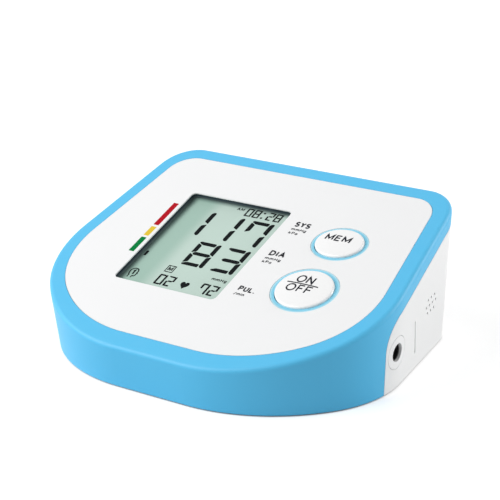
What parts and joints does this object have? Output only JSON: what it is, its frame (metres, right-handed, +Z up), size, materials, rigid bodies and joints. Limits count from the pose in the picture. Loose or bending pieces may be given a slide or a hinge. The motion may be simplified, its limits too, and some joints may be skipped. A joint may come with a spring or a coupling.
{
  "type": "upper-arm blood pressure monitor",
  "caption": "Tabletop blood pressure monitor: wedge case with a sloped face, recessed display, domed push buttons, air socket and bottom battery door.",
  "frame": {"origin": "under the middle of the case, on the plane the feet stand on", "axes": "+X to the user's right, +Y to the rear, +Z up"},
  "size_m": [0.1338, 0.0968, 0.0486],
  "materials": {
    "blue_shell": "satin light blue moulding",
    "white_shell": "satin white moulding",
    "white_plate": "smooth white face plate",
    "dark_frame": "matt near-black",
    "display_glass": "grey-green reflective display",
    "reflector_white": "white film",
    "strip_rubber": "conductive rubber strip",
    "board_green": "green solder mask",
    "chip_black": "moulded chip",
    "sensor_white": "moulded sensor",
    "button_white": "smooth white cap",
    "switch_black": "black plunger",
    "switch_body": "switch body",
    "motor_steel": "plated can",
    "pump_plastic": "grey moulding",
    "shaft_steel": "ground steel",
    "black_rubber": "soft sleeve",
    "valve_plastic": "wound coil in black moulding",
    "fitting_plastic": "air fitting",
    "socket_plastic": "pale grey socket",
    "buzzer_brass": "sounder disc",
    "cell_jacket": "cell jacket",
    "screw_steel": "zinc plated",
    "foot_rubber": "pale grey rubber",
    "contact_steel": "nickel plated",
    "silicone_tube": "translucent silicone",
    "lead_red": "insulated wire",
    "lead_black": "insulated wire"
  },
  "bodies": {
    "housing": {"upper_case": "blue_shell", "lower_case": "white_shell", "face_plate": "white_plate", "lcd_frame": "dark_frame", "lcd_glass": "display_glass", "lcd_reflector": "reflector_white", "contact_strip": "strip_rubber", "main_board": "board_green", "control_chip": "chip_black", "pressure_sensor": "sensor_white", "power_switch": "switch_body", "mem_switch": "switch_body", "pump_motor": "motor_steel", "pump_head": "pump_plastic", "pump_sleeve": "black_rubber", "valve_body": "valve_plastic", "manifold": "fitting_plastic", "air_socket": "socket_plastic", "buzzer": "buzzer_brass", "cell_1": "cell_jacket", "case_screw_1": "screw_steel", "board_screw_1": "screw_steel", "foot_1": "foot_rubber", "cell_2": "cell_jacket", "case_screw_2": "screw_steel", "board_screw_2": "screw_steel", "foot_2": "foot_rubber", "cell_3": "cell_jacket", "case_screw_3": "screw_steel", "board_screw_3": "screw_steel", "foot_3": "foot_rubber", "cell_4": "cell_jacket", "case_screw_4": "screw_steel", "board_screw_4": "screw_steel", "foot_4": "foot_rubber", "contact_front_left": "contact_steel", "contact_front_middle": "contact_steel", "contact_front_right": "contact_steel", "contact_rear_left": "contact_steel", "contact_rear_right": "contact_steel", "tube_pump": "silicone_tube", "tube_socket": "silicone_tube", "tube_valve": "silicone_tube", "tube_sensor": "silicone_tube", "pump_lead_red": "lead_red", "pump_lead_black": "lead_black", "valve_lead_red": "lead_red", "valve_lead_black": "lead_black", "battery_lead_red": "lead_red", "battery_lead_black": "lead_black", "buzzer_lead": "lead_black"},
    "power_key": {"power_button": "button_white", "power_plunger": "switch_black"},
    "mem_key": {"mem_button": "button_white", "mem_plunger": "switch_black"},
    "cover": {"battery_cover": "white_shell"},
    "pump_rotor": {"pump_shaft": "shaft_steel"},
    "valve_core": {"valve_plunger": "shaft_steel"}
  },
  "joints": [
    {"name": "power_press", "type": "slide", "parent": "housing", "child": "power_key", "axis": [0, 0.333, -0.9429], "range_m": [0, 0.0007], "stiffness_N_per_m": 1500},
    {"name": "mem_press", "type": "slide", "parent": "housing", "child": "mem_key", "axis": [0, 0.333, -0.9429], "range_m": [0, 0.0007], "stiffness_N_per_m": 1500},
    {"name": "cover_hinge", "type": "hinge", "parent": "housing", "child": "cover", "pos_m": [-0.022, -0.0109, 0.0015], "axis": [-1, 0, 0], "range_deg": [0, 80]},
    {"name": "pump_spin", "type": "hinge", "parent": "housing", "child": "pump_rotor", "pos_m": [0.029, 0.027, 0.0152], "axis": [1, 0, 0], "continuous": true},
    {"name": "valve_slide", "type": "slide", "parent": "housing", "child": "valve_core", "axis": [0, 1, 0], "range_m": [0, 0.0015], "stiffness_N_per_m": 200}
  ]
}
